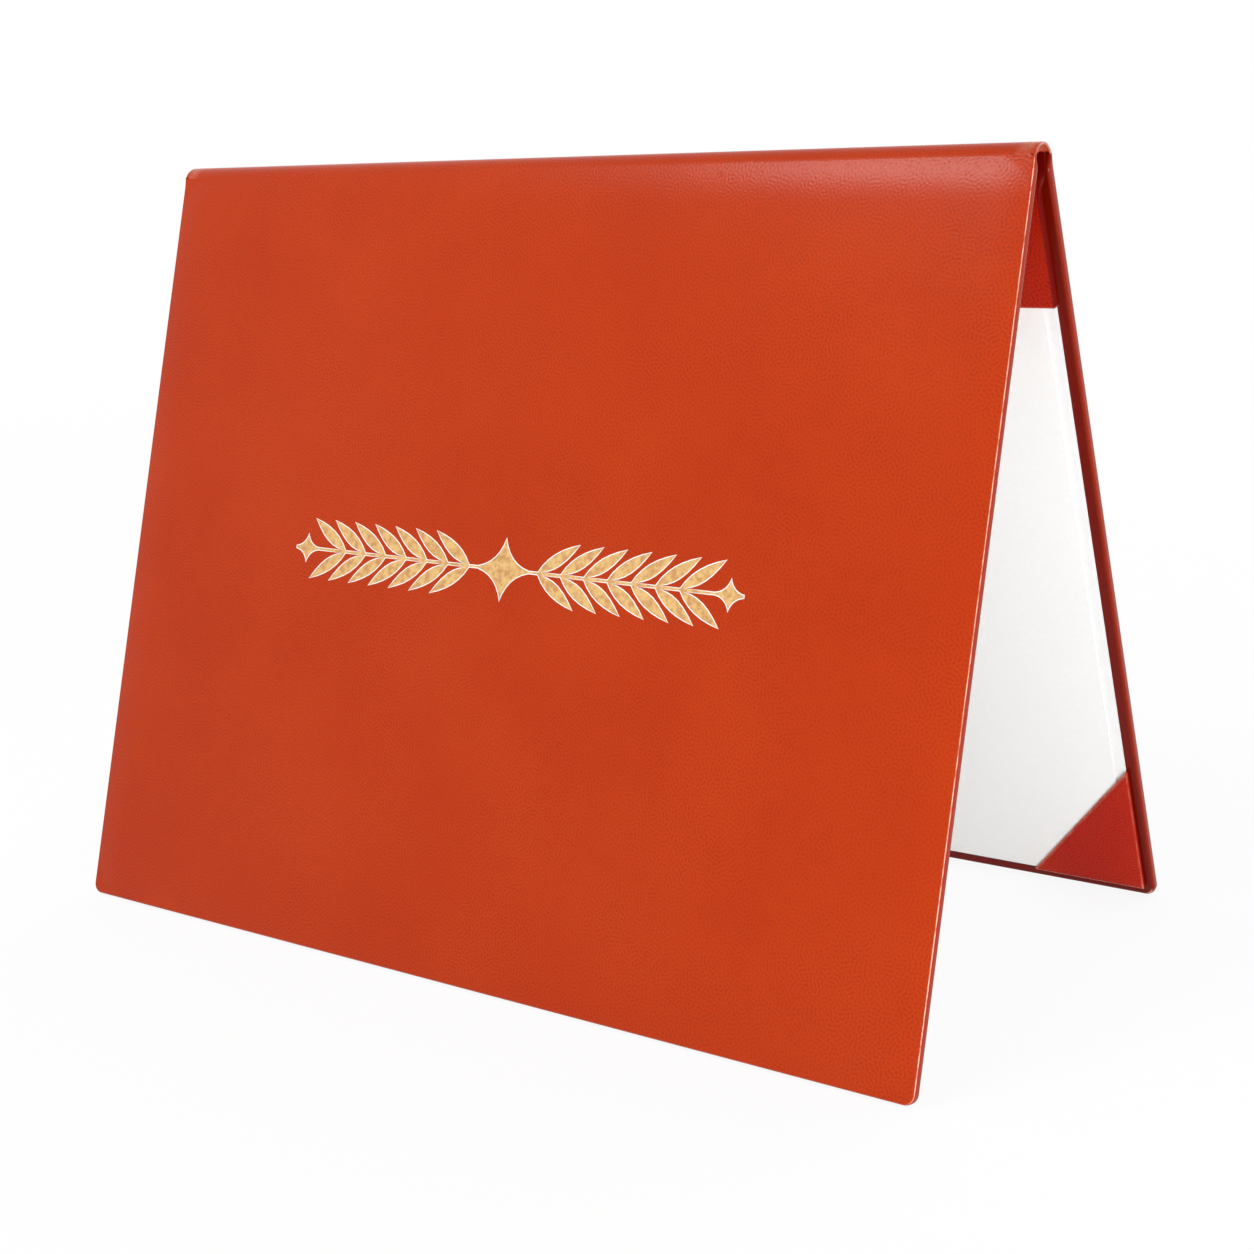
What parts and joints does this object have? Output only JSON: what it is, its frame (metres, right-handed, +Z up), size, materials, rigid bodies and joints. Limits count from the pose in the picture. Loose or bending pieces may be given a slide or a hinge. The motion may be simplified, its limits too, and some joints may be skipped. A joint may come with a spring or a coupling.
{
  "type": "diploma cover",
  "caption": "Tent-style padded leatherette diploma cover, hinged on a rounded spine, with a foil-stamped front and a sheet held by corner pockets inside.",
  "frame": {"origin": "middle of the footprint, on the surface that the cover stands on", "axes": "+Z up, +X along the spine, the front cover leans towards -Y"},
  "size_m": [0.2922, 0.152, 0.22],
  "materials": {
    "leatherette": "satin, fine embossed grain",
    "inner_leatherette": "satin, fine embossed grain",
    "padding_foam": "soft foam, hidden",
    "greyboard": "raw board, hidden",
    "liner_paper": "matte white paper",
    "sheet_paper": "matte white paper",
    "gold_foil": "hot-stamped metallic foil"
  },
  "bodies": {
    "front_cover": {"front_wrap": "leatherette", "front_padding": "padding_foam", "front_board": "greyboard", "front_liner": "liner_paper", "front_hinge_band": "inner_leatherette", "foil_ornament": "gold_foil"},
    "spine": {"spine_wrap": "leatherette", "spine_lining": "inner_leatherette"},
    "back_cover": {"back_wrap": "leatherette", "back_padding": "padding_foam", "back_board": "greyboard", "back_liner": "liner_paper", "back_hinge_band": "inner_leatherette", "certificate_sheet": "sheet_paper", "corner_pocket_left": "inner_leatherette", "corner_pocket_right": "inner_leatherette"}
  },
  "joints": [
    {"name": "front_fold", "type": "hinge", "parent": "front_cover", "child": "spine", "pos_m": [0, -0.0046, 0.21712], "axis": [1, 0, 0], "range_deg": [-18.3, 71.7]},
    {"name": "back_fold", "type": "hinge", "parent": "spine", "child": "back_cover", "pos_m": [0, 0.0046, 0.21712], "axis": [1, 0, 0], "range_deg": [-18.3, 71.7]}
  ],
  "couplings": [
    {"joint": "back_fold", "follows": "front_fold", "ratio": 1}
  ]
}
